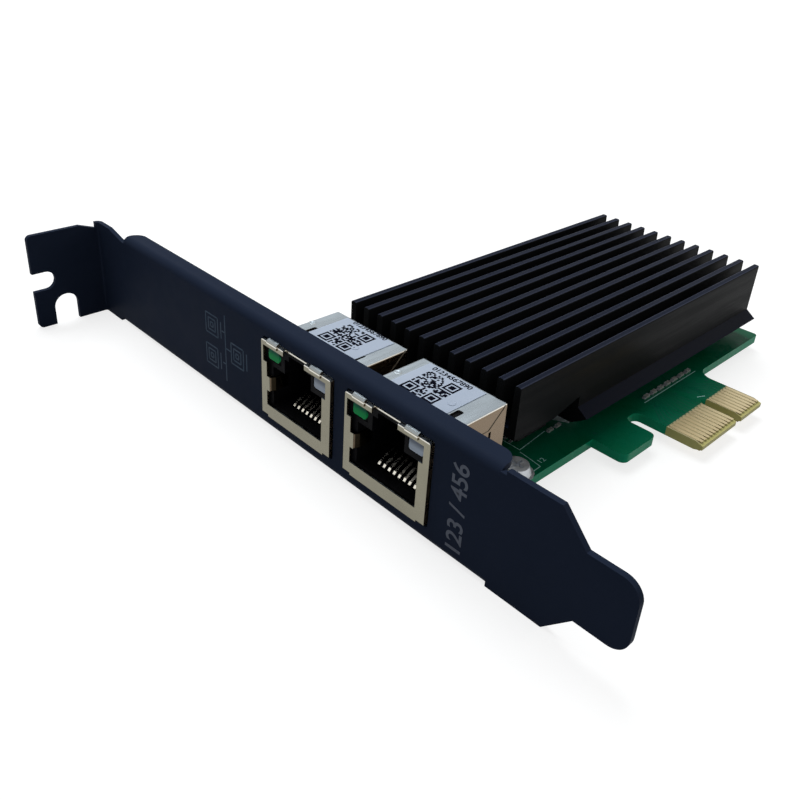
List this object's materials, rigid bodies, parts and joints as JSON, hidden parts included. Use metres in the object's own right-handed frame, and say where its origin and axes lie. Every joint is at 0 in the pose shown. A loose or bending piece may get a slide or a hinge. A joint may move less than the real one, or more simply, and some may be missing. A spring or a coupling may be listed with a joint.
{
  "type": "frame grabber card",
  "caption": "Expansion card with a black folded bracket, shielded network jacks, a finned heat sink over the green board and a short gold finger edge.",
  "frame": {"origin": "centre of the key notch at the finger edge, in the board's mid-plane", "axes": "+X from the bracket towards the board's far end, +Y from the finger edge towards the bracket's screw tab, +Z from the board towards its component side"},
  "size_m": [0.1052, 0.12, 0.0184],
  "materials": {
    "bracket_paint": "satin black paint over steel",
    "screw_steel": "nickel plated",
    "board_mask": "green solder mask over glass laminate",
    "finger_gold": "gold plated",
    "sink_black": "black anodised",
    "shield_nickel": "bright nickel plated sheet",
    "housing_black": "moulded",
    "contact_gold": "gold plated",
    "lens_green": "translucent green",
    "lens_clear": "translucent clear",
    "label_paper": "white label with dark print",
    "chip_black": "moulded package",
    "pad_grey": "soft heat pad",
    "capacitor_tan": "ceramic with tinned ends",
    "can_steel": "lidded can",
    "solder_tin": "tinned"
  },
  "bodies": {
    "root": {"bracket": "bracket_paint", "bracket_screws": "screw_steel", "circuit_board": "board_mask", "finger_pads_top": "finger_gold", "finger_pads_back": "finger_gold", "heat_sink": "sink_black", "heat_sink_spacers": "screw_steel", "heat_sink_screws": "screw_steel", "thermal_pad": "pad_grey", "controller_chip": "chip_black", "line_transformers": "chip_black", "transformer_leads": "solder_tin", "chip_capacitors": "capacitor_tan", "flash_chip": "chip_black", "crystal_can": "can_steel", "power_inductors": "chip_black", "regulator_chips": "chip_black", "solder_joints": "solder_tin", "jack_1_shield": "shield_nickel", "jack_1_housing": "housing_black", "jack_1_contacts": "contact_gold", "jack_1_green_lens": "lens_green", "jack_1_clear_lens": "lens_clear", "jack_1_label": "label_paper", "jack_2_shield": "shield_nickel", "jack_2_housing": "housing_black", "jack_2_contacts": "contact_gold", "jack_2_green_lens": "lens_green", "jack_2_clear_lens": "lens_clear", "jack_2_label": "label_paper"}
  },
  "joints": []
}
